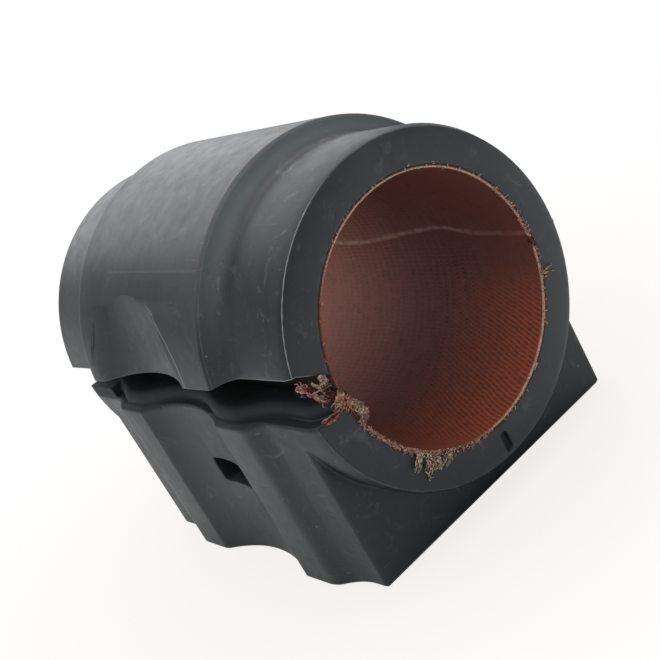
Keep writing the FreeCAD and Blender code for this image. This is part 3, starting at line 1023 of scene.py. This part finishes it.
def add_bore_lamp(power):
    """A small soft lamp behind the bushing that shines into its bore."""
    lamp = bpy.data.lights.new("bore_light", "AREA")
    lamp.energy = power
    lamp.size = BORE_LAMP_SIZE
    lamp.spread = math.radians(BORE_LAMP_BEAM)
    shown = bpy.data.objects.new("bore_light", lamp)
    place = Vector(BORE_LAMP_PLACE) * MM
    target = Vector(BORE_LAMP_AIM) * MM
    shown.location = place
    shown.rotation_euler = (place - target).to_track_quat("Z", "Y").to_euler()
    shown.visible_camera = False
    bpy.context.scene.collection.objects.link(shown)


def add_world(strength):
    """Even soft light, with a white background for the camera alone."""
    world = bpy.data.worlds.new("studio")
    world.use_nodes = True
    nodes = world.node_tree.nodes
    links = world.node_tree.links
    nodes.clear()
    path = nodes.new("ShaderNodeLightPath")
    mixed = nodes.new("ShaderNodeMixShader")
    output = nodes.new("ShaderNodeOutputWorld")
    links.new(path.outputs["Is Camera Ray"], mixed.inputs[0])
    lights = (((*LAMP_COLOUR, 1.0), strength), (WHITE, 1.0))
    for index, (colour, level) in enumerate(lights, start=1):
        light = nodes.new("ShaderNodeBackground")
        light.inputs["Color"].default_value = colour
        light.inputs["Strength"].default_value = level
        links.new(light.outputs[0], mixed.inputs[index])
    links.new(mixed.outputs[0], output.inputs["Surface"])
    bpy.context.scene.world = world


def add_camera(lens):
    """The camera at the photograph's angle."""
    data = bpy.data.cameras.new("photo_camera")
    data.sensor_width = SENSOR_WIDTH
    data.lens = lens
    data.clip_start = CLIP_NEAR
    data.clip_end = CLIP_FAR
    camera = bpy.data.objects.new("photo_camera", data)
    right = Vector(CAMERA_RIGHT)
    up = Vector(CAMERA_UP)
    back = right.cross(up).normalized()
    turn = Matrix((right, up, back)).transposed().to_4x4()
    turn.translation = Vector(CAMERA_PLACE) * MM
    camera.matrix_world = turn
    bpy.context.scene.collection.objects.link(camera)
    bpy.context.scene.camera = camera


class BUSHING_OT_set_stage(bpy.types.Operator):
    """Makes the floor, the lights and the camera"""

    bl_idname = "bushing.set_stage"
    bl_label = "Set stage"

    def execute(self, context):
        look = context.scene.bushing_stage
        add_floor()
        add_sun("key_light", KEY_FROM, look.key, KEY_WIDTH)
        add_sun("top_light", TOP_FROM, look.top, TOP_WIDTH)
        add_bore_lamp(look.bore)
        add_world(look.sky)
        add_camera(look.lens)
        context.scene.view_settings.view_transform = "Standard"
        return {"FINISHED"}


# Panel and registration

class BUSHING_PT_panel(bpy.types.Panel):
    """The bushing's steps, in the order they are made"""

    bl_label = "Sway bar bushing"
    bl_idname = "BUSHING_PT_panel"
    bl_space_type = "VIEW_3D"
    bl_region_type = "UI"
    bl_category = "Bushing"

    def draw(self, context):
        for settings, (group, step) in STEPS.items():
            box = self.layout.box()
            for name in group.__annotations__:
                box.prop(getattr(context.scene, settings), name)
            box.operator(step.bl_idname)


# Each step's settings, by their name on the scene, and its operator
STEPS = {
    "bushing_rubber": (BushingRubber, BUSHING_OT_finish_rubber),
    "bushing_liner": (BushingLiner, BUSHING_OT_weave_liner),
    "bushing_fray": (BushingFray, BUSHING_OT_fray_yarn),
    "bushing_stage": (BushingStage, BUSHING_OT_set_stage),
}


def register():
    for settings, (group, step) in STEPS.items():
        bpy.utils.register_class(group)
        setattr(bpy.types.Scene, settings, PointerProperty(type=group))
        bpy.utils.register_class(step)
    bpy.utils.register_class(BUSHING_PT_panel)


def unregister():
    bpy.utils.unregister_class(BUSHING_PT_panel)
    for settings, (group, step) in reversed(STEPS.items()):
        bpy.utils.unregister_class(step)
        delattr(bpy.types.Scene, settings)
        bpy.utils.unregister_class(group)


def main():
    register()
    bpy.ops.bushing.finish_rubber()
    bpy.ops.bushing.weave_liner()
    bpy.ops.bushing.fray_yarn()
    bpy.ops.bushing.set_stage()


if __name__ == "__main__":
    main()
